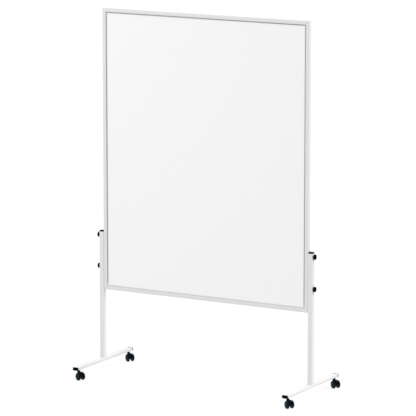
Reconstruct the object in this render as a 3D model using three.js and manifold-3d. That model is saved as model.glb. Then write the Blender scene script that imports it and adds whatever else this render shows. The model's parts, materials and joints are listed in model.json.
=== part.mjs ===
// Rolling whiteboard: a framed double-sided board held between two T-shaped stands.
// Millimetres, +Z up, the writing side faces -Y. The floor is at z = 0 and the board is
// centred on x = 0 and y = 0. Each piece is one closed solid and one named mesh.

import * as THREE from 'three';
import { mergeVertices } from 'three/addons/utils/BufferGeometryUtils.js';
import Module from 'manifold-3d';

const wasm = await Module();
wasm.setup();

// ---------------------------------------------------------------- driving dimensions

const GAP = 0.3;                 // clearance between pieces that touch

const BOARD_WIDTH = 1224;        // outside the frame
const BOARD_HEIGHT = 1500;
const FRAME_DEPTH = 20;
const RAIL_FACE = 20.7;          // visible width of a frame rail
const RAIL_WALL = 1.6;
const RAIL_ROUND = 1.5;          // outer corner radius of the rail section
const CHAMBER_DEPTH = 12;        // the closed box of the rail section, then the panel groove

const PANEL_RECESS = 2.6;        // panel face behind the frame's front face
const SHEET_THICK = 0.5;
const SEAL_WIDTH = 5;            // visible width of the seal beside the rail
const SEAL_RECESS = 0.5;         // seal's top behind the frame's front face
const SEAL_FOOT = 7;             // seal's grip under the rail's lip
const KEY_ARM = 60;              // corner key's arms

const CASTOR_HEIGHT = 53;        // floor to the underside of the foot
const FOOT_WIDTH = 31;
const FOOT_HEIGHT = 15;
const FOOT_LENGTH = 560;         // over the end caps
const TUBE_WALL = 1.5;
const TUBE_ROUND = 2.2;

// End plugs: flange thickness, crown above it, length inside the tube, overhang round it.
const POST_CAP = { flange: 5.2, crown: 1.1, insert: 12, overhang: 0 };
const FOOT_CAP = { flange: 4.2, crown: 0.6, insert: 14, overhang: 1 };
const CAP_BEVEL = 1.4;           // width of the slope round a plug's crown
const CAP_WALL = 2;              // wall of the hollow insert

const POST_WIDTH = 25;
const POST_DEPTH = 25;
const BOARD_LIFT = 391;          // underside of the foot to the underside of the frame
const POST_OVERLAP = 310;        // the post's top above the underside of the frame
const POST_GAP = 0.4;            // frame to post, which the knobs draw together

const KNOB_UPPER = 292;          // knob axes above the underside of the frame
const KNOB_SPACING = 168;
const KNOB_RADIUS = 14;
const KNOB_REACH = 13.2;         // face of the knob beyond the post
const HUB_REACH = 4.3;           // end of the knob's hub beyond the post
const HUB_RADIUS = 7;
const KNOB_TOP_WALL = 4.5;       // knob material above the end of the stud
const STUD_RADIUS = 3.9;
const STUD_BORE = 4.1;
const BUSH_RADIUS = 5.5;
const WASHER_THICK = 1.2;
const WASHER_RADIUS = 8.5;
const WASHER_BORE = 4.4;

const CASTOR_INSET = 26.5;       // swivel axis from the end of the foot
const CASTOR_TRAIL = 21.4;       // axle behind the swivel axis
const WHEEL_RADIUS = 20.8;
const WHEEL_WIDTH = 9;           // at the rim
const WHEEL_SPACING = 29.5;      // between the middles of the two rims
const WHEEL_DOME = 2.5;          // rise of the outer face towards its middle
const WHEEL_ROUND = 4.2;         // radius of the rim's outer edge
const WHEEL_HUB = 6;
const AXLE_RADIUS = 2.8;
const HOOD_WEB = 8;              // thickness of the hood between the wheels
const HOOD_GUARD = 19;           // width of the curved guard over the web
const GUARD_THICK = 2.5;
const GUARD_CLEAR = 1;           // guard's inner radius beyond the wheel's
const BOSS_RADIUS = 4.6;         // hood round the stem pin
const CROWN_REACH = 12;          // the hood's crown runs back from the boss to here
const CROWN_RADIUS = 5.4;        // and is rounded there
const CROWN_BOTTOM = 18;         // height of the boss's and the crown's lower end
const PIN_RADIUS = 3;            // stem pin in the hood
const PIN_CLEAR = 0.2;
const PIN_BOTTOM = 24;           // height of the pin's lower end
const PIN_BORE_BOTTOM = 20;
const COLLAR_RADIUS = 6.3;
const COLLAR_HEIGHT = 1.6;
const THREAD_RADIUS = 4.8;       // stem thread in the foot
const STEM_CHAMFER = 0.8;
const CASTOR_YAW = {             // parked direction of each castor's trail, degrees from +X
  left_front: -24, left_rear: -30, right_front: -30, right_rear: -29,
};

// ---------------------------------------------------------------- derived places

const FOOT_BOTTOM = CASTOR_HEIGHT;
const FOOT_TOP = FOOT_BOTTOM + FOOT_HEIGHT;
const BOARD_BOTTOM = FOOT_BOTTOM + BOARD_LIFT;
const BOARD_MIDDLE = BOARD_BOTTOM + BOARD_HEIGHT / 2;
const POST_TOP = BOARD_BOTTOM + POST_OVERLAP;
const POST_INNER = BOARD_WIDTH / 2 + POST_GAP;
const POST_CENTRE = POST_INNER + POST_WIDTH / 2;
const POST_OUTER = POST_INNER + POST_WIDTH;
const SWIVEL_Y = FOOT_LENGTH / 2 - CASTOR_INSET;
const SIDES = { left: -1, right: 1 };
const ENDS = { front: -1, rear: 1 };
const LEVELS = { bottom: -1, top: 1 };
const KNOB_HEIGHTS = {
  upper: BOARD_BOTTOM + KNOB_UPPER,
  lower: BOARD_BOTTOM + KNOB_UPPER - KNOB_SPACING,
};

// ---------------------------------------------------------------- materials

const material = (color, roughness, metalness) =>
  new THREE.MeshStandardMaterial({ color, roughness, metalness });

const PAINT = material(0xdddcd8, 0.45, 0.1);
const BOARD_WHITE = material(0xf3f3f5, 0.2, 0.0);
const CORE = material(0xc9b48c, 0.9, 0.0);
const SEAL = material(0x55565a, 0.6, 0.0);
const BLACK_PLASTIC = material(0x0b0d10, 0.35, 0.0);
const ZINC = material(0xa9adb2, 0.35, 0.9);
const BLACK_STEEL = material(0x16161a, 0.45, 0.5);
const TYRE_BLACK = material(0x0d1216, 0.3, 0.0);

// ---------------------------------------------------------------- solids and meshes

const object = new THREE.Group();

function addPiece(parent, name, geometry, look) {
  const mesh = new THREE.Mesh(geometry, look);
  mesh.name = name;
  parent.add(mesh);
}

function toSolid(geometry) {
  const bare = geometry.clone();
  bare.deleteAttribute('normal');
  bare.deleteAttribute('uv');
  const merged = mergeVertices(bare, 1e-4);
  return new wasm.Manifold(new wasm.Mesh({
    numProp: 3,
    vertProperties: new Float32Array(merged.attributes.position.array),
    triVerts: new Uint32Array(merged.index.array),
  }));
}

function toGeometry(solid) {
  const { vertProperties, triVerts } = solid.getMesh();
  const geometry = new THREE.BufferGeometry();
  geometry.setAttribute('position', new THREE.BufferAttribute(vertProperties, 3));
  geometry.setIndex(new THREE.BufferAttribute(triVerts, 1));
  geometry.computeVertexNormals();
  return geometry;
}

const cut = (geometry, ...cutters) =>
  toGeometry(cutters.reduce((left, c) => left.subtract(toSolid(c)), toSolid(geometry)));

const join = (...geometries) =>
  toGeometry(geometries.map(toSolid).reduce((sum, next) => sum.add(next)));

function box(sizeX, sizeY, sizeZ, x, y, z) {
  return new THREE.BoxGeometry(sizeX, sizeY, sizeZ).translate(x, y, z);
}

// A cylinder along Z from z0 to z1.
function rod(radius, z0, z1, segments = 24) {
  const bar = new THREE.CylinderGeometry(radius, radius, z1 - z0, segments);
  return bar.rotateX(Math.PI / 2).translate(0, 0, (z0 + z1) / 2);
}

// A solid of revolution about Z from [radius, height] pairs.
function turned(profile, segments = 24) {
  const points = profile.map(([radius, height]) => new THREE.Vector2(radius, height));
  return new THREE.LatheGeometry(points, segments).rotateX(Math.PI / 2);
}

// The same profile closed on itself, for a ring with a bore.
function turnedRing(profile, segments = 20) {
  return turned([...profile, profile[0]], segments);
}

function roundedRect(width, height, radius, Kind = THREE.Shape) {
  const w = width / 2;
  const h = height / 2;
  const outline = new Kind();
  outline.moveTo(-w + radius, -h);
  outline.lineTo(w - radius, -h);
  outline.absarc(w - radius, -h + radius, radius, -Math.PI / 2, 0);
  outline.lineTo(w, h - radius);
  outline.absarc(w - radius, h - radius, radius, 0, Math.PI / 2);
  outline.lineTo(-w + radius, h);
  outline.absarc(-w + radius, h - radius, radius, Math.PI / 2, Math.PI);
  outline.lineTo(-w, -h + radius);
  outline.absarc(-w + radius, -h + radius, radius, Math.PI, 1.5 * Math.PI);
  return outline;
}

// An outline in the XY plane pushed up along Z from z0 to z1.
function pushed(outline, z0, z1, curveSegments = 2) {
  const options = { depth: z1 - z0, bevelEnabled: false, curveSegments };
  return new THREE.ExtrudeGeometry(outline, options).translate(0, 0, z0);
}

function rectangularTube(width, height, z0, z1) {
  const outline = roundedRect(width, height, TUBE_ROUND);
  outline.holes.push(roundedRect(width - 2 * TUBE_WALL, height - 2 * TUBE_WALL,
    TUBE_ROUND - TUBE_WALL, THREE.Path));
  return pushed(outline, z0, z1);
}

// A plug for the end of such a tube, its flange on z = 0 with a sloped crown above and a
// hollow insert below.
function tubePlug(width, height, { flange, crown, insert, overhang }) {
  const overWidth = width + 2 * overhang;
  const overHeight = height + 2 * overhang;
  const lip = pushed(roundedRect(overWidth, overHeight, TUBE_ROUND), 0, flange);
  const shrink = 2 * CAP_BEVEL + 0.2;
  const sliver = 0.01;
  const top = new THREE.ExtrudeGeometry(
    roundedRect(overWidth - shrink, overHeight - shrink, TUBE_ROUND),
    { depth: sliver, bevelThickness: crown, bevelSize: CAP_BEVEL, bevelSegments: 1, curveSegments: 2 },
  ).translate(0, 0, flange - sliver);
  const insideWidth = width - 2 * (TUBE_WALL + GAP);
  const insideHeight = height - 2 * (TUBE_WALL + GAP);
  const core = pushed(roundedRect(insideWidth, insideHeight, TUBE_ROUND - TUBE_WALL),
    -insert, flange / 2);
  const hollow = box(insideWidth - 2 * CAP_WALL, insideHeight - 2 * CAP_WALL, insert,
    0, 0, -insert / 2 - CAP_WALL);
  return cut(join(lip, top, core), hollow);
}

// ---------------------------------------------------------------- board

// Rail section in (inward from the outer edge, depth): a closed box, then two lips that
// form the groove for the panel.
function railSection() {
  const half = FRAME_DEPTH / 2;
  const groove = half - RAIL_WALL;
  const r = RAIL_ROUND;
  const section = new THREE.Shape();
  section.moveTo(r, -half);
  section.lineTo(RAIL_FACE - 0.6, -half);
  section.lineTo(RAIL_FACE, -half + 0.6);
  section.lineTo(RAIL_FACE, -groove);
  section.lineTo(CHAMBER_DEPTH, -groove);
  section.lineTo(CHAMBER_DEPTH, groove);
  section.lineTo(RAIL_FACE, groove);
  section.lineTo(RAIL_FACE, half - 0.6);
  section.lineTo(RAIL_FACE - 0.6, half);
  section.lineTo(r, half);
  section.absarc(r, half - r, r, Math.PI / 2, Math.PI);
  section.lineTo(0, -half + r);
  section.absarc(r, -half + r, r, Math.PI, 1.5 * Math.PI);
  const chamber = new THREE.Path();
  chamber.moveTo(RAIL_WALL, -groove);
  chamber.lineTo(RAIL_WALL, groove);
  chamber.lineTo(CHAMBER_DEPTH - RAIL_WALL, groove);
  chamber.lineTo(CHAMBER_DEPTH - RAIL_WALL, -groove);
  section.holes.push(chamber);
  return section;
}

// A rail along the board's top edge, its ends mitred: the section's inward distance also
// shortens each end, so the end faces lie at 45 degrees.
function mitredRail(length) {
  const rail = pushed(railSection(), -1, 1);
  const corner = rail.attributes.position;
  for (let i = 0; i < corner.count; i += 1) {
    const inward = corner.getX(i);
    const reach = length / 2 - inward - GAP / 2;
    corner.setXYZ(i, Math.sign(corner.getZ(i)) * reach, corner.getY(i), -inward);
  }
  rail.computeVertexNormals();
  return rail;
}

// A closed ring around the board whose section is a polygon in (inward, depth).
function mitredRing(section) {
  const corners = [[-1, -1], [1, -1], [1, 1], [-1, 1]];
  const positions = [];
  for (const [sx, sz] of corners) {
    for (const [inward, depth] of section) {
      positions.push(sx * (BOARD_WIDTH / 2 - inward), depth, sz * (BOARD_HEIGHT / 2 - inward));
    }
  }
  const n = section.length;
  const index = [];
  for (let c = 0; c < corners.length; c += 1) {
    const next = (c + 1) % corners.length;
    for (let k = 0; k < n; k += 1) {
      const j = (k + 1) % n;
      index.push(c * n + k, c * n + j, next * n + j);
      index.push(c * n + k, next * n + j, next * n + k);
    }
  }
  const ring = new THREE.BufferGeometry();
  ring.setAttribute('position', new THREE.Float32BufferAttribute(positions, 3));
  ring.setIndex(index);
  ring.computeVertexNormals();
  return ring;
}

function addFrame(board) {
  const top = mitredRail(BOARD_WIDTH).translate(0, 0, BOARD_HEIGHT / 2);
  const bottom = mitredRail(BOARD_WIDTH).rotateY(Math.PI).translate(0, 0, -BOARD_HEIGHT / 2);
  addPiece(board, 'frame_top_rail', top, PAINT);
  addPiece(board, 'frame_bottom_rail', bottom, PAINT);
  for (const [side, sign] of Object.entries(SIDES)) {
    const rail = mitredRail(BOARD_HEIGHT).rotateY(sign * Math.PI / 2)
      .translate(sign * BOARD_WIDTH / 2, 0, 0);
    const bores = Object.values(KNOB_HEIGHTS).map((z) => rod(BUSH_RADIUS + GAP, -4, 4, 20)
      .rotateY(Math.PI / 2).translate(sign * BOARD_WIDTH / 2, 0, z - BOARD_MIDDLE));
    addPiece(board, `frame_${side}_rail`, cut(rail, ...bores), PAINT);
  }
}

// Keys inside the rails' chambers that hold the mitred corners together, as an L whose
// corner lies on the board's outer corner.
function addCornerKeys(board) {
  const outer = RAIL_WALL + GAP;
  const inner = CHAMBER_DEPTH - RAIL_WALL - GAP;
  const half = FRAME_DEPTH / 2 - RAIL_WALL - GAP;
  const outline = [[outer, outer], [outer, KEY_ARM], [inner, KEY_ARM], [inner, inner],
    [KEY_ARM, inner], [KEY_ARM, outer]];
  for (const [side, right] of Object.entries(SIDES)) {
    for (const [level, up] of Object.entries(LEVELS)) {
      const key = new THREE.Shape(outline.map(([x, z]) => new THREE.Vector2(-right * x, -up * z)));
      const solid = pushed(key, -half, half).rotateX(Math.PI / 2)
        .translate(right * BOARD_WIDTH / 2, 0, up * BOARD_HEIGHT / 2);
      addPiece(board, `corner_key_${level}_${side}`, solid, ZINC);
    }
  }
}

function addPanel(board) {
  const width = BOARD_WIDTH - 2 * (CHAMBER_DEPTH + 1);
  const height = BOARD_HEIGHT - 2 * (CHAMBER_DEPTH + 1);
  const face = FRAME_DEPTH / 2 - PANEL_RECESS;
  const coreThick = 2 * (face - SHEET_THICK - GAP);
  addPiece(board, 'panel_core', box(width, coreThick, height, 0, 0, 0), CORE);
  for (const [end, sign] of [['front', -1], ['back', 1]]) {
    const middle = sign * (face - SHEET_THICK / 2);
    addPiece(board, `${end}_sheet`, box(width, SHEET_THICK, height, 0, middle, 0), BOARD_WHITE);
    addPiece(board, `${end}_seal`, sealRing(sign), SEAL);
  }
}

// The seal grips under the rail's lip and stands up beside it to close the panel's edge.
function sealRing(sign) {
  const half = FRAME_DEPTH / 2;
  const sheet = half - PANEL_RECESS + GAP;
  const underLip = half - RAIL_WALL - GAP;
  const crest = half - SEAL_RECESS;
  const lip = RAIL_FACE + GAP;
  const section = [
    [RAIL_FACE - SEAL_FOOT, sheet], [lip + SEAL_WIDTH, sheet], [lip + SEAL_WIDTH, crest - 1],
    [lip + SEAL_WIDTH - 1, crest], [lip, crest], [lip, underLip], [RAIL_FACE - SEAL_FOOT, underLip],
  ].map(([inward, depth]) => [inward, sign * depth]);
  return mitredRing(sign < 0 ? section : section.reverse());
}

function addBoard() {
  const board = new THREE.Group();
  board.position.z = BOARD_MIDDLE;
  addFrame(board);
  addCornerKeys(board);
  addPanel(board);
  object.add(board);
}

// ---------------------------------------------------------------- stands

function addStand(side, sign) {
  const stand = new THREE.Group();
  stand.position.x = sign * POST_CENTRE;

  const boreLength = POST_WIDTH + 2;
  const bores = Object.values(KNOB_HEIGHTS).map((z) =>
    rod(STUD_BORE + GAP, -boreLength / 2, boreLength / 2, 20).rotateY(Math.PI / 2)
      .translate(0, 0, z));
  const post = rectangularTube(POST_WIDTH, POST_DEPTH, FOOT_TOP + GAP, POST_TOP - GAP);
  addPiece(stand, `post_${side}`, cut(post, ...bores), PAINT);
  addPiece(stand, `post_cap_${side}`,
    tubePlug(POST_WIDTH, POST_DEPTH, POST_CAP).translate(0, 0, POST_TOP), BLACK_PLASTIC);

  const tubeEnd = FOOT_LENGTH / 2 - FOOT_CAP.flange - FOOT_CAP.crown - GAP;
  const tube = rectangularTube(FOOT_WIDTH, FOOT_HEIGHT, -tubeEnd, tubeEnd).rotateX(Math.PI / 2);
  const holes = Object.values(ENDS).map((end) =>
    rod(THREAD_RADIUS + GAP, -FOOT_HEIGHT, 2 * TUBE_WALL - FOOT_HEIGHT / 2, 20)
      .translate(0, end * SWIVEL_Y, 0));
  const foot = cut(tube, ...holes).translate(0, 0, FOOT_BOTTOM + FOOT_HEIGHT / 2);
  addPiece(stand, `foot_${side}`, foot, PAINT);
  for (const [end, way] of Object.entries(ENDS)) {
    const cap = tubePlug(FOOT_WIDTH, FOOT_HEIGHT, FOOT_CAP)
      .rotateX(way * -Math.PI / 2)
      .translate(0, way * (tubeEnd + GAP), FOOT_BOTTOM + FOOT_HEIGHT / 2);
    addPiece(stand, `foot_cap_${side}_${end}`, cap, BLACK_PLASTIC);
  }
  object.add(stand);
}

// ---------------------------------------------------------------- clamping knobs

// Threaded bush in the frame's side rail, flush with its outer face.
function bushGeometry() {
  const barrel = CHAMBER_DEPTH - RAIL_WALL - 2 * GAP;
  return turnedRing([
    [STUD_BORE, -barrel], [BUSH_RADIUS, -barrel], [BUSH_RADIUS, 0], [STUD_BORE, 0],
  ], 16);
}

function washerGeometry() {
  const top = GAP + WASHER_THICK;
  return turnedRing([
    [WASHER_BORE, GAP], [WASHER_RADIUS, GAP], [WASHER_RADIUS, top], [WASHER_BORE, top],
  ], 16);
}

// Screw stud through the post into the bush, with a chamfered tip.
function studGeometry() {
  const tip = -(POST_WIDTH + POST_GAP + CHAMBER_DEPTH - RAIL_WALL - 1);
  const head = KNOB_REACH - KNOB_TOP_WALL;
  return turned([[0, tip], [STUD_RADIUS - 1, tip], [STUD_RADIUS, tip + 1], [STUD_RADIUS, head],
    [0, head]], 16);
}

// Fluted grip on a round hub, bored from below for the stud.
function knobGeometry() {
  const flutes = 8;
  const steps = 4;
  const flute = 0.9;
  const edge = 1.6;
  const grip = new THREE.Shape(Array.from({ length: flutes * steps }, (_, i) => {
    const angle = (2 * Math.PI * i) / (flutes * steps);
    const radius = KNOB_RADIUS - edge - flute * (1 - Math.abs(Math.cos(flutes * angle / 2)));
    return new THREE.Vector2(radius * Math.cos(angle), radius * Math.sin(angle));
  }));
  const body = new THREE.ExtrudeGeometry(grip, {
    depth: KNOB_REACH - HUB_REACH - 2 * edge, bevelThickness: edge, bevelSize: edge,
    bevelSegments: 2,
  }).translate(0, 0, HUB_REACH + edge);
  const hub = rod(HUB_RADIUS, 2 * GAP + WASHER_THICK, HUB_REACH + edge);
  const bore = rod(STUD_RADIUS + GAP, 0, KNOB_REACH - KNOB_TOP_WALL + GAP, 20);
  return cut(join(body, hub), bore);
}

function addKnob(side, sign, level, z) {
  const place = new THREE.Group();
  place.position.set(sign * POST_OUTER, 0, z);
  place.rotation.y = sign * Math.PI / 2;
  const name = `${side}_${level}`;
  addPiece(place, `knob_washer_${name}`, washerGeometry(), ZINC);
  addPiece(place, `knob_stud_${name}`, studGeometry(), ZINC);
  addPiece(place, `knob_head_${name}`, knobGeometry(), BLACK_PLASTIC);
  object.add(place);

  const inRail = new THREE.Group();
  inRail.position.set(sign * BOARD_WIDTH / 2, 0, z);
  inRail.rotation.y = sign * Math.PI / 2;
  addPiece(inRail, `frame_bush_${name}`, bushGeometry(), ZINC);
  object.add(inRail);
}

// ---------------------------------------------------------------- castors

// Stem screwed into the foot: thread above, collar, and the pin the castor turns on.
function stemGeometry() {
  const collarTop = CASTOR_HEIGHT - GAP;
  const collarBottom = collarTop - COLLAR_HEIGHT;
  const threadTop = CASTOR_HEIGHT + FOOT_HEIGHT - 2 * TUBE_WALL;
  const c = STEM_CHAMFER;
  return turned([[0, PIN_BOTTOM], [PIN_RADIUS - c, PIN_BOTTOM], [PIN_RADIUS, PIN_BOTTOM + c],
    [PIN_RADIUS, collarBottom], [COLLAR_RADIUS, collarBottom], [COLLAR_RADIUS, collarTop],
    [THREAD_RADIUS, collarTop], [THREAD_RADIUS, threadTop - c], [THREAD_RADIUS - c, threadTop],
    [0, threadTop]], 16);
}

// Hood between the wheels: a web from the swivel boss to the axle, a curved guard on top and
// a crown that rises from the guard to the stem's collar. Drawn in the castor's own frame,
// swivel axis on Z, trail along +X, axle along Y.
function hoodGeometry() {
  const bossTop = CASTOR_HEIGHT - 2 * GAP - COLLAR_HEIGHT;
  const guardInner = WHEEL_RADIUS + GUARD_CLEAR;
  const guardOuter = guardInner + GUARD_THICK;
  const tail = 0.25 * Math.PI;
  const nose = 0.8 * Math.PI;
  const webNose = 1.08 * Math.PI;
  const axleWeb = 8;
  const web = new THREE.Shape();
  web.absarc(0, 0, guardOuter, tail, webNose);
  web.absarc(0, 0, axleWeb, 1.25 * Math.PI, 0.1 * Math.PI);
  const guard = new THREE.Shape();
  guard.absarc(0, 0, guardOuter, tail, nose);
  guard.absarc(0, 0, guardInner, nose, tail, true);
  const stand = (shape, thick) => pushed(shape, -thick / 2, thick / 2, 7).rotateX(Math.PI / 2)
    .translate(CASTOR_TRAIL, 0, WHEEL_RADIUS);
  const crown = new THREE.Shape();
  crown.absarc(0, 0, BOSS_RADIUS, 0.5 * Math.PI, 1.5 * Math.PI);
  crown.absarc(CROWN_REACH, 0, CROWN_RADIUS, -0.5 * Math.PI, 0.5 * Math.PI);
  const pinBore = rod(PIN_RADIUS + PIN_CLEAR, PIN_BORE_BOTTOM, CASTOR_HEIGHT, 16);
  const axleBore = rod(AXLE_RADIUS + GAP, -HOOD_GUARD, HOOD_GUARD, 16).rotateX(Math.PI / 2)
    .translate(CASTOR_TRAIL, 0, WHEEL_RADIUS);
  const hood = join(stand(web, HOOD_WEB), stand(guard, HOOD_GUARD),
    pushed(crown, CROWN_BOTTOM, bossTop, 8));
  return cut(hood, pinBore, axleBore);
}

// Wheel with a domed outer face, bored for the axle; its inner face is at z = 0.
function wheelGeometry() {
  const bore = AXLE_RADIUS + GAP;
  const edge = 1.5;
  const half = WHEEL_ROUND * (1 - Math.SQRT1_2);
  const crown = WHEEL_WIDTH + WHEEL_DOME;
  return turnedRing([[bore, 0], [WHEEL_RADIUS - edge, 0], [WHEEL_RADIUS, edge],
    [WHEEL_RADIUS, WHEEL_WIDTH - WHEEL_ROUND], [WHEEL_RADIUS - half, WHEEL_WIDTH - half],
    [WHEEL_RADIUS - WHEEL_ROUND, WHEEL_WIDTH], [WHEEL_HUB, crown], [bore, crown]], 28);
}

function addCastor(side, sign, end, way) {
  const name = `${side}_${end}`;
  const castor = new THREE.Group();
  castor.position.set(sign * POST_CENTRE, way * SWIVEL_Y, 0);
  castor.rotation.z = THREE.MathUtils.degToRad(CASTOR_YAW[name]);
  addPiece(castor, `castor_stem_${name}`, stemGeometry(), BLACK_STEEL);
  addPiece(castor, `castor_hood_${name}`, hoodGeometry(), BLACK_PLASTIC);

  const innerFace = (WHEEL_SPACING - WHEEL_WIDTH) / 2;
  const axleEnd = innerFace + WHEEL_WIDTH + WHEEL_DOME - GAP;
  const axle = rod(AXLE_RADIUS, -axleEnd, axleEnd, 16).rotateX(Math.PI / 2)
    .translate(CASTOR_TRAIL, 0, WHEEL_RADIUS);
  addPiece(castor, `castor_axle_${name}`, axle, BLACK_STEEL);
  for (const [which, face] of [['a', -1], ['b', 1]]) {
    const wheel = wheelGeometry().rotateX(-face * Math.PI / 2)
      .translate(CASTOR_TRAIL, face * innerFace, WHEEL_RADIUS);
    addPiece(castor, `castor_wheel_${which}_${name}`, wheel, TYRE_BLACK);
  }
  object.add(castor);
}

// ---------------------------------------------------------------- assembly

addBoard();
for (const [side, sign] of Object.entries(SIDES)) {
  addStand(side, sign);
  for (const [level, z] of Object.entries(KNOB_HEIGHTS)) addKnob(side, sign, level, z);
  for (const [end, way] of Object.entries(ENDS)) addCastor(side, sign, end, way);
}

// The parked castors reach a little further to one side: the origin goes under the middle
// of the whole object's box, on the floor.
const extent = new THREE.Box3().setFromObject(object, true);
object.position.set(-(extent.min.x + extent.max.x) / 2, -(extent.min.y + extent.max.y) / 2,
  -extent.min.z);

export default object;
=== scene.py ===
import json
import math
import bmesh
import bpy
from mathutils import Matrix, Vector


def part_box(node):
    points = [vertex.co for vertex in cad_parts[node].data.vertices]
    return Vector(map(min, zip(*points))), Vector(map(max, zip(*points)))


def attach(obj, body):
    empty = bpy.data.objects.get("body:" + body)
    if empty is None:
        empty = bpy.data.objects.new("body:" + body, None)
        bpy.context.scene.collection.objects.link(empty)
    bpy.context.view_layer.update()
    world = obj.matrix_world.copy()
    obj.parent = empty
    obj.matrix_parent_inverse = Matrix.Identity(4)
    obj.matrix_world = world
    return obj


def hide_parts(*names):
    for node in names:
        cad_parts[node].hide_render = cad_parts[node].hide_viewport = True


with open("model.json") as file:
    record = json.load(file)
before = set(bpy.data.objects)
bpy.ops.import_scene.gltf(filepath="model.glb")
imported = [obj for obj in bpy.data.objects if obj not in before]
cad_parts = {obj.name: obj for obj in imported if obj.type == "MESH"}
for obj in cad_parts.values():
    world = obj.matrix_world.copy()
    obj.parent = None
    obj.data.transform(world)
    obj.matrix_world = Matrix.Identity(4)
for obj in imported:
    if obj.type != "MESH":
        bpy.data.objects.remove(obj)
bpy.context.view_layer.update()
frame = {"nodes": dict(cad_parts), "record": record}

MM = 0.001
SHARP_ANGLE = 40   # in degrees: an edge that turns more than this is drawn sharp
ROOT = "board_and_stands"
SIDES = {"left": -1, "right": 1}
ENDS = {"front": -1, "rear": 1}
LEVELS = ("upper", "lower")

# Sizes in millimetres that the CAD boxes do not give.
JOINT_GAP = 0.3          # between two pieces that are fixed to each other
WALL_DRILLING = 8        # passes one wall
TUBE_DRILLING = 40       # passes the whole tube
HOOD_DRILLING = 60       # passes the whole hood
THREAD_PITCH = 1.25

# Board, in millimetres.
RAIL_FACE = 20.7
RAIL_WALL = 1.6
RAIL_ROUND = 1.6
RAIL_LIP = 0.7
CHAMBER_DEPTH = 12
MITRE_GAP = 0.1
BUSH_HOLE = 5.8
SEAL_BEAD = 5.0
SEAL_FOOT = 7.0
SEAL_FOOT_THICK = 0.4
SEAL_CREST_ROUND = 1.1
SEAL_EDGE_ROUND = 0.7

# Stands, in millimetres.
TUBE_WALL = 1.5
TUBE_ROUND = 2.4
STUD_HOLE = 4.4
STEM_HOLE = 5.1
POST_CROWN = 1.1
POST_INSERT = 12
FOOT_CROWN = 0.6
FOOT_INSERT = 14

# Knobs, in millimetres.
KNOB_RADIUS = 14.0
KNOB_REACH = 13.2
SCREW_HEAD = 8.7
STUD_RADIUS = 3.9

# Castors, in millimetres.
TREAD_RADIUS = 20.65
WHEEL_RADIUS = 20.8
WHEEL_WIDTH = 9.0
WHEEL_DOME = 2.5
WHEEL_ROUND = 4.2
AXLE_RADIUS = 2.8
AXLE_BORE = 3.0
AXLE_WEB_RADIUS = 8
HOOD_HALF_WEB = 4.0
GUARD_INNER = 21.8
GUARD_OUTER = 24.3
GUARD_HALF = 9.5
CROWN_REACH = 12.0
CROWN_RADIUS = 5.4
CROWN_LOW = 18           # height over the floor where the crown begins
BOSS_RADIUS = 4.6
PIN_BORE_LOW = 20        # height over the floor where the pin's bore ends
PIN_CLEARANCE = 0.2
PIN_RADIUS = 3.0
COLLAR_RADIUS = 6.3
COLLAR_HEIGHT = 1.6
STEM_RADIUS = 4.8

# Heights in metres over the seal's lower edge, between which the light painted on its lower run
# fades out.
PAINTED_LIGHT_LOW = 0.012
PAINTED_LIGHT_HIGH = 0.03

# The studio: half the floor's width in metres, the sun's angles in degrees, lamps in watts.
FLOOR_HALF = 80
FLOOR_GLOW = 0.83
SKY_STRENGTH = 1.0
SUN_STRENGTH = 1.9
SUN_ANGLE = 60
SUN_TILT = 31
SOFTBOX_POWER = 20
STRIP_POWER = 50

# The viewing angle and framing.
AZIMUTH = 29.735
ELEVATION = 10.124
DISTANCE = 15.776
LENS = 263.3
AIM = Vector((0.0153, 0.0055, 0.9339))   # from the point on the floor under the board's middle


def middle(node):
    low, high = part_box(node)
    return (low + high) / 2


BOARD = middle("panel_core")


# ---------------------------------------------------------------- materials

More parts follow.
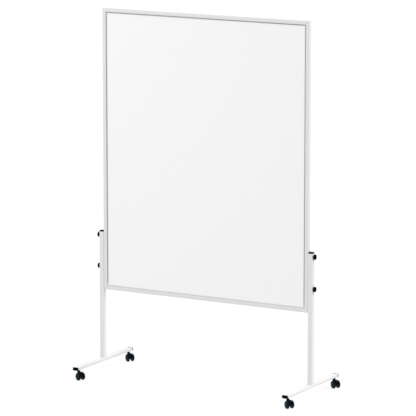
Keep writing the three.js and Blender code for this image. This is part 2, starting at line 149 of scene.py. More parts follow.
class Look:
    """A Principled material under construction, with textures in the piece's own space."""

    def __init__(self, name, colour, roughness, metallic=0.0, specular=0.5):
        self.material = bpy.data.materials.new(name)
        self.material.use_nodes = True
        self.nodes = self.material.node_tree.nodes
        self.links = self.material.node_tree.links
        self.shader = self.nodes["Principled BSDF"]
        self.colour = (*colour, 1)
        self.roughness = roughness
        self.shader.inputs["Base Color"].default_value = self.colour
        self.shader.inputs["Roughness"].default_value = roughness
        self.shader.inputs["Metallic"].default_value = metallic
        self.shader.inputs["Specular IOR Level"].default_value = specular
        self.space = self.nodes.new("ShaderNodeTexCoord").outputs["Object"]

    def noise(self, size_mm, detail=3.0, stretch=(1, 1, 1)):
        """Noise whose features are about size_mm across, stretched along the axes."""
        mapping = self.nodes.new("ShaderNodeMapping")
        mapping.inputs["Scale"].default_value = [1 / (size_mm * MM * s) for s in stretch]
        self.links.new(self.space, mapping.inputs["Vector"])
        noise = self.nodes.new("ShaderNodeTexNoise")
        noise.inputs["Scale"].default_value = 1.0
        noise.inputs["Detail"].default_value = detail
        self.links.new(mapping.outputs["Vector"], noise.inputs["Vector"])
        return noise.outputs["Fac"]

    def span(self, value, low, high, start=0.3, stop=0.7):
        """Maps a 0 to 1 value between two numbers."""
        node = self.nodes.new("ShaderNodeMapRange")
        node.inputs["From Min"].default_value = start
        node.inputs["From Max"].default_value = stop
        node.inputs["To Min"].default_value = low
        node.inputs["To Max"].default_value = high
        self.links.new(value, node.inputs["Value"])
        return node.outputs["Result"]

    def tint(self, value, other):
        """Blends the base colour towards another by a 0 to 1 value."""
        mix = self.nodes.new("ShaderNodeMix")
        mix.data_type = "RGBA"
        source = self.shader.inputs["Base Color"]
        if source.is_linked:
            self.links.new(source.links[0].from_socket, mix.inputs["A"])
        else:
            mix.inputs["A"].default_value = self.colour
        mix.inputs["B"].default_value = (*other, 1)
        self.links.new(value, mix.inputs["Factor"])
        self.links.new(mix.outputs["Result"], source)
        return self

    def vary_roughness(self, value, spread):
        low, high = self.roughness - spread, self.roughness + spread
        self.links.new(self.span(value, low, high), self.shader.inputs["Roughness"])
        return self

    def bump(self, value, height_mm, strength=1.0):
        bump = self.nodes.new("ShaderNodeBump")
        bump.inputs["Distance"].default_value = height_mm * MM
        bump.inputs["Strength"].default_value = strength
        self.links.new(value, bump.inputs["Height"])
        target = self.shader.inputs["Normal"]
        if target.is_linked:
            self.links.new(target.links[0].from_socket, bump.inputs["Normal"])
        self.links.new(bump.outputs["Normal"], target)
        return self

    def worn_edges(self, other, amount):
        """Lightens the sharpest edges, where handling rubs them."""
        geometry = self.nodes.new("ShaderNodeNewGeometry")
        edge = self.span(geometry.outputs["Pointiness"], 0, amount, 0.52, 0.62)
        return self.tint(edge, other)


def powder_coat(name, colour):
    """Stoved powder paint: a fine orange peel, slow patches of gloss, rubbed edges."""
    look = Look(name, colour, 0.42)
    look.bump(look.noise(1.1, 2), 0.02, 0.6)
    look.bump(look.noise(6, 2), 0.03, 0.5)
    look.vary_roughness(look.noise(35, 3), 0.05)
    look.tint(look.span(look.noise(180, 2), 0, 0.05), [c * 0.9 for c in colour])
    return look.worn_edges([min(1, c * 1.08) for c in colour], 0.5).material


def anodised(name, colour):
    """Extruded and lacquered aluminium: faint die lines and a soft sheen."""
    look = Look(name, colour, 0.38)
    look.bump(look.noise(1.4, 2), 0.012, 0.5)
    look.vary_roughness(look.noise(60, 3), 0.05)
    look.tint(look.span(look.noise(240, 2), 0, 0.04), [c * 0.9 for c in colour])
    return look.worn_edges([min(1, c * 1.1) for c in colour], 0.5).material


def enamel(name, colour):
    """Glossy writing enamel with the faint haze and strokes that an eraser leaves."""
    look = Look(name, colour, 0.2)
    look.bump(look.noise(4, 2), 0.01, 0.35)
    strokes = look.noise(90, 4, (2.6, 1, 0.5))
    look.vary_roughness(strokes, 0.06)
    look.tint(look.span(strokes, 0, 0.025), [c * 0.82 for c in colour])
    look.tint(look.span(look.noise(420, 2), 0, 0.03), (0.78, 0.8, 0.9))
    return look.material


def moulded(name, colour, roughness, grain_mm=0.5, specular=0.4):
    """Injection-moulded plastic with a spark-eroded grain and handled patches."""
    look = Look(name, colour, roughness, specular=specular)
    look.bump(look.noise(grain_mm, 2), 0.015, 0.6)
    look.vary_roughness(look.noise(9, 3), 0.08)
    look.tint(look.span(look.noise(14, 3), 0, 0.25), [c * 1.8 for c in colour])
    return look.worn_edges([c * 3 for c in colour], 0.35).material


def tread(name, colour):
    """Polyurethane tread, dulled and dusted by the floor."""
    look = Look(name, colour, 0.5, specular=0.02)
    look.bump(look.noise(0.8, 3), 0.03, 0.7)
    look.vary_roughness(look.noise(5, 4), 0.12)
    look.tint(look.span(look.noise(7, 5), 0, 0.3, 0.45, 0.75), (0.01, 0.015, 0.018))
    return look.material


def gasket(name, colour):
    """Glossy extruded seal, its lower run painted paler towards its lower edge: painted light,
    where the light from above falls on it.
    """
    look = Look(name, colour, 0.3, specular=0.7)
    look.bump(look.noise(0.8, 2), 0.015, 0.5)
    look.vary_roughness(look.noise(9, 3), 0.08)
    look.tint(look.span(look.noise(30, 3), 0, 0.15), [c * 1.5 for c in colour])
    split = look.nodes.new("ShaderNodeSeparateXYZ")
    look.links.new(look.space, split.inputs["Vector"])
    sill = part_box("front_seal")[0].z
    # Painted light: the colour turns paler towards the seal's lower edge, standing in for the
    # light from above on its lower run.
    painted_light_run = look.span(split.outputs["Z"], 1, 0, sill + PAINTED_LIGHT_LOW, sill + PAINTED_LIGHT_HIGH)
    return look.tint(painted_light_run, [c * 2.5 for c in colour]).material


def plated(name, colour):
    """Zinc-plated steel with drawn scratches and faint blooming."""
    look = Look(name, colour, 0.34, metallic=0.9)
    look.bump(look.noise(0.25, 2, (1, 1, 5)), 0.006, 0.6)
    look.vary_roughness(look.noise(3, 4), 0.1)
    look.tint(look.span(look.noise(5, 3), 0, 0.3), (0.5, 0.49, 0.44))
    return look.material


def card(name, colour):
    """Honeycomb card seen at its cut edge."""
    look = Look(name, colour, 0.9, specular=0.2)
    look.bump(look.noise(2.5, 4), 0.3)
    look.tint(look.span(look.noise(2.5, 4), 0, 0.6), [c * 0.5 for c in colour])
    return look.material


LOOKS = {
    "frame_rail": anodised("lacquered_aluminium", (0.6, 0.598, 0.585)),
    "stand_tube": powder_coat("powder_coat", (0.6, 0.598, 0.588)),
    "board_sheet": enamel("board_enamel", (0.757, 0.756, 0.76)),
    "panel_core": card("honeycomb_card", (0.5, 0.38, 0.25)),
    "seal": gasket("seal_plastic", (0.22, 0.222, 0.232)),
    "black_plastic": moulded("black_plastic", (0.003, 0.0032, 0.0035), 0.42, specular=0.0),
    "zinc_steel": plated("zinc_plate", (0.6, 0.61, 0.62)),
    "black_steel": moulded("black_oxide", (0.006, 0.006, 0.007), 0.45, specular=0.08),
    "castor_plastic": moulded("castor_plastic", (0.0004, 0.0055, 0.009), 0.24, 0.7, 0.04),
    # Painted light: a lighter copy of the castor plastic for the wheel discs, standing in for
    # the light on the wheels' outer faces.
    "castor_plastic_painted_light": moulded("castor_plastic_painted_light", (0.0005, 0.013, 0.022), 0.16, 0.7, 0.08),
    "castor_tread": tread("castor_tread", (0.001, 0.0075, 0.0115)),
}


# ---------------------------------------------------------------- mesh building

def to_mesh(bm, name, sharp=SHARP_ANGLE):
    bmesh.ops.recalc_face_normals(bm, faces=bm.faces)
    mesh = bpy.data.meshes.new(name)
    bm.to_mesh(mesh)
    bm.free()
    mesh.shade_smooth()
    mesh.set_sharp_from_angle(angle=math.radians(sharp))
    return mesh


def add_skin(bm, rings, loop=False):
    """Faces between rings of points. A ring of one point is a pole, and loop joins the
    last ring to the first."""
    rows = [[bm.verts.new(p) for p in ring] for ring in rings]
    pairs = list(zip(rows, rows[1:])) + ([(rows[-1], rows[0])] if loop else [])
    for low, high in pairs:
        count = max(len(low), len(high))
        for i in range(count):
            j = (i + 1) % count
            corners = [low[i % len(low)], low[j % len(low)],
                       high[j % len(high)], high[i % len(high)]]
            bm.faces.new(list(dict.fromkeys(corners)))
    if not loop:
        for row in (rows[0], rows[-1]):
            if len(row) > 2:
                bm.faces.new(row)


def turn_rings(profile, segments, shape=lambda angle, radius, height: radius):
    """Rings about Z from (radius, height) pairs in millimetres."""
    rings = []
    for radius, height in profile:
        count = segments if radius > 0 else 1
        ring = []
        for i in range(count):
            angle = 2 * math.pi * i / count
            r = shape(angle, radius, height)
            ring.append(Vector((r * math.cos(angle), r * math.sin(angle), height)) * MM)
        rings.append(ring)
    return rings


def turned(name, profile, segments=48, loop=False):
    bm = bmesh.new()
    add_skin(bm, turn_rings(profile, segments), loop)
    return to_mesh(bm, name)


def arc(cx, cy, radius, start, stop, steps):
    """Points of an arc in the plane, angles in degrees."""
    angles = [math.radians(start + (stop - start) * i / steps) for i in range(steps + 1)]
    return [(cx + radius * math.cos(a), cy + radius * math.sin(a)) for a in angles]


def rounded_rect(width, depth, radius, steps=5):
    w, d = width / 2 - radius, depth / 2 - radius
    return (arc(w, d, radius, 0, 90, steps) + arc(-w, d, radius, 90, 180, steps)
            + arc(-w, -d, radius, 180, 270, steps) + arc(w, -d, radius, 270, 360, steps))


def extrusion(name, outlines, place):
    """Walls along each outline from one end to the other, and both ends filled between
    the outlines. place(point, end) gives the corner in space, end being 0 or 1."""
    bm = bmesh.new()
    ends = ([], [])
    for outline in outlines:
        rows = [[bm.verts.new(place(p, end)) for p in outline] for end in (0, 1)]
        count = len(outline)
        for i in range(count):
            j = (i + 1) % count
            bm.faces.new((rows[0][i], rows[0][j], rows[1][j], rows[1][i]))
        for end in (0, 1):
            ends[end].extend(bm.edges.get((rows[end][i], rows[end][(i + 1) % count]))
                             for i in range(count))
    for edges in ends:
        bmesh.ops.triangle_fill(bm, edges=edges, use_beauty=True)
    return to_mesh(bm, name)


def evaluated(piece):
    graph = bpy.context.evaluated_depsgraph_get()
    mesh = bpy.data.meshes.new_from_object(piece.evaluated_get(graph), depsgraph=graph)
    bpy.data.objects.remove(piece)
    return mesh


def loose_object(mesh):
    piece = bpy.data.objects.new(mesh.name, mesh)
    bpy.context.scene.collection.objects.link(piece)
    return piece


def drilled(mesh, holes, radius, depth):
    """Cuts round holes of a radius and depth in millimetres; each hole is a middle and an
    axis, in metres."""
    bm = bmesh.new()
    for centre, axis in holes:
        turn = Vector((0, 0, 1)).rotation_difference(Vector(axis)).to_matrix().to_4x4()
        rings = turn_rings([(radius, -depth / 2), (radius, depth / 2)], 32)
        place = Matrix.Translation(centre) @ turn
        add_skin(bm, [[place @ p for p in ring] for ring in rings])
    cutter = loose_object(to_mesh(bm, "cutter"))
    body = loose_object(mesh)
    cut = body.modifiers.new("cut", "BOOLEAN")
    cut.operation, cut.solver, cut.object = "DIFFERENCE", "EXACT", cutter
    result = evaluated(body)
    bpy.data.objects.remove(cutter)
    result.shade_smooth()
    result.set_sharp_from_angle(angle=math.radians(SHARP_ANGLE))
    return result


def add_piece(name, mesh, body, slot, nodes=(), place=None, look=None):
    """Puts a mesh into the scene as a piece that rides on a body, in its slot's finish
    unless another look is named."""
    if place is not None:
        mesh.transform(place)
    mesh.materials.clear()
    mesh.materials.append(LOOKS[look or slot])
    piece = loose_object(mesh)
    piece.name = name
    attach(piece, body)
    if nodes:
        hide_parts(*nodes)
    return piece


def dress_cad_nodes():
    """The CAD nodes that stay visible take their slot's finish."""
    for row in frame["record"]["subparts"]:
        node = frame["nodes"][row["node"]]
        node.data.materials.clear()
        node.data.materials.append(LOOKS[row["material_slot"]])


# ---------------------------------------------------------------- board

def rail_outlines(depth):
    """Rail section in (inward, depth): a closed box, then two lips that hold the panel."""
    half = depth / 2
    groove = half - RAIL_WALL
    r, lip = RAIL_ROUND, RAIL_LIP
    outer = (arc(r, -half + r, r, 180, 270, 6)
             + arc(RAIL_FACE - lip, -half + lip, lip, 270, 360, 4)
             + [(RAIL_FACE, -groove), (CHAMBER_DEPTH, -groove),
                (CHAMBER_DEPTH, groove), (RAIL_FACE, groove)]
             + arc(RAIL_FACE - lip, half - lip, lip, 0, 90, 4)
             + arc(r, half - r, r, 90, 180, 6))
    inner = CHAMBER_DEPTH - RAIL_WALL
    chamber = [(RAIL_WALL, -groove), (inner, -groove), (inner, groove), (RAIL_WALL, groove)]
    return [outer, chamber]


def rail_place(node, along, inward_axis):
    """Where a section point goes at each mitred end of a rail. Of the axes X and Z, one
    runs along the rail and the other points into the board."""
    low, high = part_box(node)
    run = along.index(1)
    into = 2 - run
    outer_edge = (low + high) / 2
    outer_edge[into] = low[into] if inward_axis[into] > 0 else high[into]
    half = (high[run] - low[run]) / 2

    def place(point, end):
        inward, across = point[0] * MM, point[1] * MM
        reach = (half - inward - MITRE_GAP * MM / 2) * (1 if end else -1)
        return outer_edge + Vector(along) * reach + Vector(inward_axis) * inward \
            + Vector((0, across, 0))
    return place


def build_frame():
    low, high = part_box("frame_top_rail")
    outlines = rail_outlines((high.y - low.y) / MM)
    rails = {
        "top": ((1, 0, 0), (0, 0, -1)), "bottom": ((1, 0, 0), (0, 0, 1)),
        "left": ((0, 0, 1), (1, 0, 0)), "right": ((0, 0, 1), (-1, 0, 0)),
    }
    for side, (along, inward) in rails.items():
        node = f"frame_{side}_rail"
        mesh = extrusion(node, outlines, rail_place(node, along, inward))
        if side in SIDES:
            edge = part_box(node)[0 if side == "left" else 1].x
            bushes = [middle(f"frame_bush_{side}_{level}") for level in LEVELS]
            holes = [(Vector((edge, bush.y, bush.z)), (1, 0, 0)) for bush in bushes]
            mesh = drilled(mesh, holes, BUSH_HOLE, WALL_DRILLING)
        add_piece(f"rail_{side}", mesh, ROOT, "frame_rail", [node])


def build_seals():
    """The seal's foot lies under the rail's lip and its soft bead stands up beside it."""
    for name, sign in (("front_seal", -1), ("back_seal", 1)):
        low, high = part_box(name)
        thick = (high.y - low.y) / MM
        crest = SEAL_FOOT + SEAL_BEAD
        big, small = SEAL_CREST_ROUND, SEAL_EDGE_ROUND
        section = ([(0, 0), (crest, 0)]
                   + arc(crest - big, thick - big, big, 0, 90, 5)
                   + arc(SEAL_FOOT + 1.0, thick - small, small, 90, 180, 4)
                   + [(SEAL_FOOT + 0.3, SEAL_FOOT_THICK), (0, SEAL_FOOT_THICK)])
        sheet_side = high.y if sign < 0 else low.y
        half_x, half_z = (high.x - low.x) / 2, (high.z - low.z) / 2
        centre = (low + high) / 2
        rings = []
        for cx, cz in ((-1, -1), (1, -1), (1, 1), (-1, 1)):
            rings.append([Vector((centre.x + cx * (half_x - a * MM), sheet_side + sign * d * MM,
                                  centre.z + cz * (half_z - a * MM))) for a, d in section])
        bm = bmesh.new()
        add_skin(bm, rings, loop=True)
        add_piece(f"{name}_strip", to_mesh(bm, name), ROOT, "seal", [name])


# ---------------------------------------------------------------- stands

def tube_mesh(name, node, axis):
    """A rounded rectangular tube that fills a CAD node's box, along Z or Y."""
    low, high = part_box(node)
    size = (high - low) / MM
    centre = (low + high) / 2
    across, up = (size.x, size.y) if axis == "z" else (size.x, size.z)
    outlines = [rounded_rect(across, up, TUBE_ROUND),
                rounded_rect(across - 2 * TUBE_WALL, up - 2 * TUBE_WALL, TUBE_ROUND - TUBE_WALL)]

    def place(point, end):
        u, v = point[0] * MM, point[1] * MM
        if axis == "z":
            return Vector((centre.x + u, centre.y + v, high.z if end else low.z))
        return Vector((centre.x + u, high.y if end else low.y, centre.z + v))
    return extrusion(name, outlines, place)


def plug_mesh(name, width, depth, height, crown, insert, overhang=0.0):
    """A moulded tube plug: a flange with a soft crown above z = 0 and a ribbed insert."""
    def ring(inset, radius, z):
        points = rounded_rect(width - 2 * inset, depth - 2 * inset, max(radius, 0.4))
        return [Vector((x, y, z)) * MM for x, y in points]

    inside, rib = TUBE_WALL + 0.3, TUBE_WALL + 0.1
    rings = [ring(inside, 0.6, -insert), ring(inside, 0.8, -insert + 1)]
    ribs = 3
    for k in range(ribs):
        z = -insert + 1.5 + k * (insert - 3) / ribs
        rings += [ring(inside, 0.8, z), ring(rib, 0.8, z + 0.6), ring(inside, 0.8, z + 1.6)]
    rings += [ring(inside, 0.8, 0.05), ring(0.25 - overhang, TUBE_ROUND, 0.05),
              ring(-overhang, TUBE_ROUND, 0.3)]
    edge, steps = 1.0, 5
    for k in range(steps + 1):
        angle = math.pi / 2 * k / steps
        rings.append(ring(edge * (1 - math.cos(angle)) - overhang, TUBE_ROUND,
                          height - crown - edge * (1 - math.sin(angle))))
    rings += [ring(edge + 1.6 - overhang, 1.8, height - crown * 0.35),
              ring(edge + 4.0 - overhang, 1.0, height)]
    bm = bmesh.new()
    add_skin(bm, rings)
    return to_mesh(bm, name, 50)


def weld_mesh(name, width, depth):
    """A painted fillet bead round the foot of the post, with the welder's slow ripples."""
    outline = rounded_rect(width, depth, TUBE_ROUND, 6)
    points = []
    for i, (x, y) in enumerate(outline):
        nx, ny = outline[(i + 1) % len(outline)]
        pieces = max(1, round(math.hypot(nx - x, ny - y) / 1.0))
        points += [(x + (nx - x) * k / pieces, y + (ny - y) * k / pieces) for k in range(pieces)]
    rings = []
    for i, (x, y) in enumerate(points):
        px, py = points[i - 1]
        qx, qy = points[(i + 1) % len(points)]
        out = Vector((qy - py, px - qx, 0)).normalized()
        leg = 2.2 + 0.22 * math.sin(i * 1.9) + 0.12 * math.sin(i * 0.7)
        base = Vector((x, y, 0))
        rings.append([(base + out * u + Vector((0, 0, v))) * MM for u, v in
                      [(-0.4, -0.25), (leg, -0.25), (leg * 0.62, leg * 0.22),
                       (leg * 0.3, leg * 0.45), (0.1, leg), (-0.4, leg)]])
    bm = bmesh.new()
    add_skin(bm, rings, loop=True)
    return to_mesh(bm, name, 60)


def build_stand(side):
    post, foot = f"post_{side}", f"foot_{side}"
    low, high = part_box(post)
    centre = middle(post)
    holes = [(Vector((centre.x, centre.y, middle(f"knob_head_{side}_{level}").z)), (1, 0, 0))
             for level in LEVELS]
    mesh = drilled(tube_mesh(post, post, "z"), holes, STUD_HOLE, TUBE_DRILLING)
    add_piece(f"stand_post_{side}", mesh, ROOT, "stand_tube", [post])

    stems = [middle(f"castor_stem_{side}_{end}") for end in ENDS]
    foot_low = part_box(foot)[0].z
    holes = [(Vector((s.x, s.y, foot_low)), (0, 0, 1)) for s in stems]
    mesh = drilled(tube_mesh(foot, foot, "y"), holes, STEM_HOLE, WALL_DRILLING)
    add_piece(f"stand_foot_{side}", mesh, ROOT, "stand_tube", [foot])

    size = (high - low) / MM
    height = (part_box(f"post_cap_{side}")[1].z - high.z) / MM
    cap = plug_mesh("post_cap", size.x, size.y, height, POST_CROWN, POST_INSERT)
    add_piece(f"stand_cap_{side}", cap, ROOT, "black_plastic", [f"post_cap_{side}"],
              Matrix.Translation((centre.x, centre.y, high.z)))

    foot_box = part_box(foot)
    foot_size = (foot_box[1] - foot_box[0]) / MM
    for end, way in ENDS.items():
        node = f"foot_cap_{side}_{end}"
        cap_low, cap_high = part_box(node)
        tip = (cap_low if way < 0 else cap_high).y
        tube_end = foot_box[0 if way < 0 else 1].y
        overhang = ((cap_high.x - cap_low.x) / MM - foot_size.x) / 2
        cap = plug_mesh("foot_cap", foot_size.x, foot_size.z, abs(tip - tube_end) / MM,
                        FOOT_CROWN, FOOT_INSERT, overhang)
        turn = Matrix.Rotation(-way * math.pi / 2, 4, "X")
        place = Matrix.Translation((middle(foot).x, tube_end, middle(foot).z)) @ turn
        add_piece(f"stand_{node}", cap, ROOT, "black_plastic", [node], place)

    bead = weld_mesh("weld", size.x, size.y)
    add_piece(f"stand_weld_{side}", bead, ROOT, "stand_tube", (),
              Matrix.Translation((centre.x, centre.y, foot_box[1].z + JOINT_GAP * MM)))


# ---------------------------------------------------------------- knobs

def knob_mesh():
    """A fluted grip with a soft rim and a pressed-in lid, on a round hub. The face that
    meets the washer is at the hub's foot, and the screw enters from there."""
    hub, reach, radius = 7.0, KNOB_REACH, KNOB_RADIUS
    washer_top, grip_low, bore, bore_top = 1.8, 4.3, 4.2, SCREW_HEAD + 0.2
    flutes, depth = 8, 1.1

    def flute(angle, r, height):
        if r < hub + 0.5 or r < radius - 3.2 and height > 8:
            return r
        share = min(1, (r - hub) / (radius - hub))
        return r - depth * share * (1 - abs(math.cos(flutes * angle / 2)) ** 0.8)

    profile = [(bore, bore_top), (bore, washer_top + 0.3), (bore + 0.3, washer_top),
               (hub - 0.4, washer_top), (hub, washer_top + 0.4), (hub, grip_low - 0.4),
               (hub + 0.4, grip_low)]
    profile += [(radius - 1.8, grip_low + 0.1)]
    profile += arc(radius - 1.6, grip_low + 1.7, 1.6, -70, 0, 4)
    profile += arc(radius - 2.2, reach - 2.9, 2.2, 10, 75, 5)
    lid = radius - 3.7
    profile += [(lid + 0.3, reach - 0.55), (lid, reach - 0.5), (lid - 0.2, reach - 0.9),
                (lid - 0.5, reach - 0.9), (lid - 0.7, reach - 0.45), (6.5, reach - 0.15),
                (3.5, reach)]
    bm = bmesh.new()
    rings = turn_rings([(0, bore_top)] + profile + [(0, reach)], 96, flute)
    add_skin(bm, rings)
    return to_mesh(bm, "knob", 35)


def thread_mesh(name, radius, low, high, head):
    """A screw with a real helical thread between two heights, chamfered at its tip. The
    (radius, height) pairs of the head close it."""
    segments, per_turn = 24, 6
    crest = 0.62
    count = round((high - low) / THREAD_PITCH * per_turn)
    rings = [[Vector((0, 0, low)) * MM]]
    for k in range(count + 1):
        height = low + (high - low) * k / count
        tip = min(1, (height - low) / 1.2)
        ring = []
        for i in range(segments):
            angle = 2 * math.pi * i / segments
            phase = (height / THREAD_PITCH - i / segments) % 1
            cut = crest * (1 - abs(2 * phase - 1))
            r = radius - cut - 0.8 * (1 - tip)
            ring.append(Vector((r * math.cos(angle), r * math.sin(angle), height)) * MM)
        rings.append(ring)
    for r, height in head:
        rings += turn_rings([(r, height)], segments)
    bm = bmesh.new()
    add_skin(bm, rings)
    return to_mesh(bm, name, 30)


def build_knob(side, level):
    name = f"{side}_{level}"
    sign = SIDES[side]
    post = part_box(f"post_{side}")[1 if sign > 0 else 0].x
    centre = middle(f"knob_head_{name}")
    place = Matrix.Translation((post, centre.y, centre.z)) \
        @ Matrix.Rotation(sign * math.pi / 2, 4, "Y")
    body = f"knob_{name}"
    add_piece(f"grip_{name}", knob_mesh(), body, "black_plastic", [f"knob_head_{name}"], place)
    washer = [(4.5, 0.5), (4.7, 0.3), (8.1, 0.3), (8.5, 0.6), (8.5, 1.1), (8.1, 1.5),
              (4.7, 1.5), (4.5, 1.3)]
    add_piece(f"washer_{name}", turned("washer", washer, loop=True), f"knob_slider_{name}",
              "zinc_steel", [f"knob_washer_{name}"], place)
    low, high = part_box(f"knob_stud_{name}")
    tip = SCREW_HEAD - (high.x - low.x) / MM
    head = [(STUD_RADIUS, 5.6), (STUD_RADIUS, SCREW_HEAD - 0.4),
            (STUD_RADIUS - 0.4, SCREW_HEAD), (0, SCREW_HEAD)]
    screw = thread_mesh("screw", STUD_RADIUS, tip, 5.5, head)
    add_piece(f"screw_{name}", screw, body, "zinc_steel", [f"knob_stud_{name}"], place)


# ---------------------------------------------------------------- castors

def tread_mesh():
    """The soft tyre, closed on itself, inner face towards z = 0."""
    rim, edge = 16.8, 1.4
    profile = [(rim, 0.5), (TREAD_RADIUS - edge, 0.3)]
    profile += arc(TREAD_RADIUS - edge, 0.3 + edge, edge, -75, 0, 4)
    profile += arc(TREAD_RADIUS - WHEEL_ROUND, WHEEL_WIDTH - WHEEL_ROUND - 0.1, WHEEL_ROUND,
                   0, 66, 7)
    profile += [(17.5, WHEEL_WIDTH - 0.3), (17.1, WHEEL_WIDTH - 0.4), (rim, WHEEL_WIDTH - 0.8)]
    return turned("tread", profile, 72, loop=True)


def disc_mesh():
    """The domed wheel disc inside the tyre: a raised rim, a groove and a hub round the
    axle, with a recessed web on the hidden side."""
    bore, rim = 3.1, 16.6
    top, crown = WHEEL_WIDTH - 0.4, WHEEL_WIDTH + WHEEL_DOME
    profile = [(bore, 0.2), (6.5, 0.2), (6.9, 0.6), (6.9, 2.6), (14.6, 2.6), (14.6, 0.6),
               (15, 0.2), (rim, 0.4), (rim, top - 0.2)]
    profile += [(16.3, top + 0.1), (15.0, top + 0.5), (13.6, top + 0.95), (12.8, top + 1.15)]
    profile += [(12.5, top + 0.7), (12.1, top + 0.7), (11.8, top + 1.35)]
    profile += [(10, crown - 1.05), (8, crown - 0.55), (6.6, crown - 0.25), (6.2, crown - 0.7),
                (5.7, crown - 0.7), (5.4, crown - 0.15), (4.4, crown), (bore + 0.3, crown),
                (bore, crown - 0.3)]
    return turned("disc", profile, 72, loop=True)


def axle_mesh(half):
    """The axle pin with its peened ends."""
    profile = [(0, -half), (1.6, -half), (2.5, -half + 0.35), (AXLE_RADIUS, -half + 0.9),
               (AXLE_RADIUS, half - 0.9), (2.5, half - 0.35), (1.6, half), (0, half)]
    return turned("axle", profile, 32)


def crown_ring(height, inset):
    """The crown's outline at a height: round the stem pin, then back along the trail."""
    points = arc(0, 0, BOSS_RADIUS - inset, 90, 270, 16)
    points += arc(CROWN_REACH, 0, CROWN_RADIUS - inset, -90, 90, 16)
    return [Vector((x, y, height)) * MM for x, y in points]


def hood_mesh(trail, boss_top):
    """The moulded hood: a web between the wheels, a guard over them and the crown round
    the stem, run together with soft fillets and bored for the stem and the axle."""
    bm = bmesh.new()
    outline = arc(trail, WHEEL_RADIUS, GUARD_OUTER, 45, 194, 26)
    outline += arc(trail, WHEEL_RADIUS, AXLE_WEB_RADIUS, 225, 378, 16)
    add_skin(bm, [[Vector((x, side * HOOD_HALF_WEB, z)) * MM for x, z in outline]
                  for side in (-1, 1)])
    sections, steps, start, stop = [], 28, 45, 144
    for k in range(steps + 1):
        angle = math.radians(start + (stop - start) * k / steps)
        ends = min(k, steps - k) / 3
        reach = GUARD_HALF - 2.5 * max(0, 1 - ends) ** 2
        rim = [(GUARD_INNER, -reach), (GUARD_INNER, reach), (GUARD_OUTER - 0.9, reach),
               (GUARD_OUTER, reach - 2.5), (GUARD_OUTER, 0), (GUARD_OUTER, -reach + 2.5),
               (GUARD_OUTER - 0.9, -reach)]
        x, z = math.cos(angle), math.sin(angle)
        sections.append([Vector((trail + r * x, y, WHEEL_RADIUS + r * z)) * MM for r, y in rim])
    add_skin(bm, sections)
    add_skin(bm, [crown_ring(CROWN_LOW, 0.8), crown_ring(CROWN_LOW + 1, 0),
                  crown_ring(boss_top - 0.4, 0), crown_ring(boss_top, 0.4)])
    piece = loose_object(to_mesh(bm, "hood"))
    melt = piece.modifiers.new("melt", "REMESH")
    melt.mode, melt.voxel_size, melt.use_smooth_shade = "VOXEL", 0.55 * MM, True
    soften = piece.modifiers.new("soften", "SMOOTH")
    soften.iterations, soften.factor = 6, 0.5
    thin = piece.modifiers.new("thin", "DECIMATE")
    thin.ratio = 0.35
    pin_bore = (Vector((0, 0, (boss_top + PIN_BORE_LOW) / 2 * MM)), (0, 0, 1))
    axle_bore = (Vector((trail, 0, WHEEL_RADIUS)) * MM, (0, 1, 0))
    depth = boss_top - PIN_BORE_LOW + 3
    mesh = drilled(evaluated(piece), [pin_bore], PIN_RADIUS + PIN_CLEARANCE, depth)
    return drilled(mesh, [axle_bore], AXLE_BORE, HOOD_DRILLING)


def stem_mesh(low, foot, top):
    """Pin, pressed collar and the thread that goes up into the foot."""
    pin, collar, thread = PIN_RADIUS, COLLAR_RADIUS, STEM_RADIUS
    under = foot - COLLAR_HEIGHT
    profile = [(0, low), (pin - 0.8, low), (pin, low + 0.8), (pin, under),
               (collar - 0.3, under), (collar, under + 0.3), (collar, foot - 0.3),
               (collar - 0.3, foot), (thread, foot),
               (thread, top - 0.8), (thread - 0.8, top), (0, top)]
    return turned("stem", profile, 48)


def build_castor(side, end):
    name = f"{side}_{end}"
    swivel = middle(f"castor_stem_{name}")
    axle = middle(f"castor_axle_{name}")
    trail = Vector((axle.x - swivel.x, axle.y - swivel.y))
    yaw = math.atan2(trail.y, trail.x)
    place = Matrix.Translation((swivel.x, swivel.y, 0)) @ Matrix.Rotation(yaw, 4, "Z")
    trail = trail.length / MM
    body = f"castor_{name}"

    stem_low, stem_high = (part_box(f"castor_stem_{name}")[k].z / MM for k in (0, 1))
    stem = stem_mesh(stem_low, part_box(f"foot_{side}")[0].z / MM - JOINT_GAP, stem_high)
    add_piece(f"stem_{name}", stem, ROOT, "black_steel", [f"castor_stem_{name}"], place)

    hood = hood_mesh(trail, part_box(f"castor_hood_{name}")[1].z / MM)
    add_piece(f"hood_{name}", hood, body, "castor_plastic", [f"castor_hood_{name}"], place)

    low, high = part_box(f"castor_axle_{name}")
    half = ((high.y - low.y) / MM / 2 - AXLE_RADIUS * abs(math.sin(yaw))) / math.cos(yaw)
    to_axle = place @ Matrix.Translation((trail * MM, 0, WHEEL_RADIUS * MM))
    lying = Matrix.Rotation(math.pi / 2, 4, "X")
    add_piece(f"axle_{name}", axle_mesh(half), body, "black_steel", [f"castor_axle_{name}"],
              to_axle @ lying)

    for which, way in (("a", -1), ("b", 1)):
        node = f"castor_wheel_{which}_{name}"
        face = half + 0.3 - WHEEL_DOME - WHEEL_WIDTH
        turn = to_axle @ Matrix.Translation((0, way * face * MM, 0)) \
            @ Matrix.Rotation(-way * math.pi / 2, 4, "X")
        wheel = f"wheel_{which}_{name}"
        add_piece(f"tread_{which}_{name}", tread_mesh(), wheel, "castor_tread", [node], turn)
        # The discs take the lighter copy of the castor plastic: painted light for their lit
        # outer faces.
        add_piece(f"disc_{which}_{name}", disc_mesh(), wheel, "castor_plastic", [node], turn,
                  "castor_plastic_painted_light")


# ---------------------------------------------------------------- studio

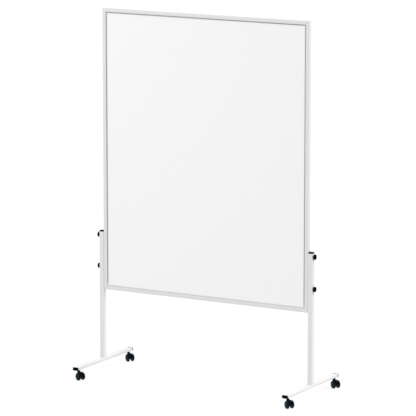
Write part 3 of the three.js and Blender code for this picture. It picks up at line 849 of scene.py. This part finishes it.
def build_floor():
    corners = [(x * FLOOR_HALF, y * FLOOR_HALF) for x, y in ((-1, -1), (1, -1), (1, 1), (-1, 1))]
    bm = bmesh.new()
    add_skin(bm, [[Vector((x, y, z)) for x, y in corners] for z in (-0.02, 0)])
    floor = loose_object(to_mesh(bm, "studio_floor"))
    look = Look("studio_floor", (0.13, 0.13, 0.13), 0.9, specular=0.0)
    look.tint(look.span(look.noise(900, 2), 0, 0.02), (0.12, 0.12, 0.12))
    look.shader.inputs["Emission Color"].default_value = (1, 1, 1, 1)
    look.shader.inputs["Emission Strength"].default_value = FLOOR_GLOW
    look.material.cycles.emission_sampling = "NONE"
    floor.data.materials.append(look.material)


def add_area_light(name, place, aim, size, power):
    light = bpy.data.lights.new(name, "AREA")
    light.shape, light.size, light.energy = "DISK", size, power
    lamp = bpy.data.objects.new(name, light)
    lamp.location = place
    lamp.rotation_euler = (Vector(aim) - Vector(place)).to_track_quat("-Z", "Y").to_euler()
    bpy.context.scene.collection.objects.link(lamp)


def build_light():
    world = bpy.data.worlds.new("studio")
    world.use_nodes = True
    sky = world.node_tree.nodes["Background"]
    sky.inputs["Color"].default_value = (1, 1, 1, 1)
    sky.inputs["Strength"].default_value = SKY_STRENGTH
    bpy.context.scene.world = world
    key = bpy.data.lights.new("key", "SUN")
    key.energy, key.angle = SUN_STRENGTH, math.radians(SUN_ANGLE)
    lamp = bpy.data.objects.new("key", key)
    lamp.rotation_euler = (0, math.radians(SUN_TILT), 0)
    bpy.context.scene.collection.objects.link(lamp)
    add_area_light("softbox", (-2.0, -2.8, 3.2), (0, 0, 1.2), 1.5, SOFTBOX_POWER)
    add_area_light("side_strip", (-6.0, -0.6, 2.8), (0, 0, 0.1), 0.9, STRIP_POWER)


def build_camera():
    data = bpy.data.cameras.new("view")
    data.sensor_fit, data.sensor_width = "HORIZONTAL", 36
    data.lens = LENS
    data.clip_end = 300
    camera = bpy.data.objects.new("view", data)
    az, el = math.radians(AZIMUTH), math.radians(ELEVATION)
    aim = Vector((BOARD.x, BOARD.y, 0)) + AIM
    back = Vector((math.sin(az) * math.cos(el), -math.cos(az) * math.cos(el), math.sin(el)))
    camera.location = aim + back * DISTANCE
    camera.rotation_euler = (-back).to_track_quat("-Z", "Y").to_euler()
    bpy.context.scene.collection.objects.link(camera)
    bpy.context.scene.camera = camera
    bpy.context.scene.view_settings.view_transform = "Standard"


# ---------------------------------------------------------------- assembly

build_camera()
build_light()
build_floor()
dress_cad_nodes()
build_frame()
build_seals()
for side in SIDES:
    build_stand(side)
    for level in LEVELS:
        build_knob(side, level)
    for end in ENDS:
        build_castor(side, end)
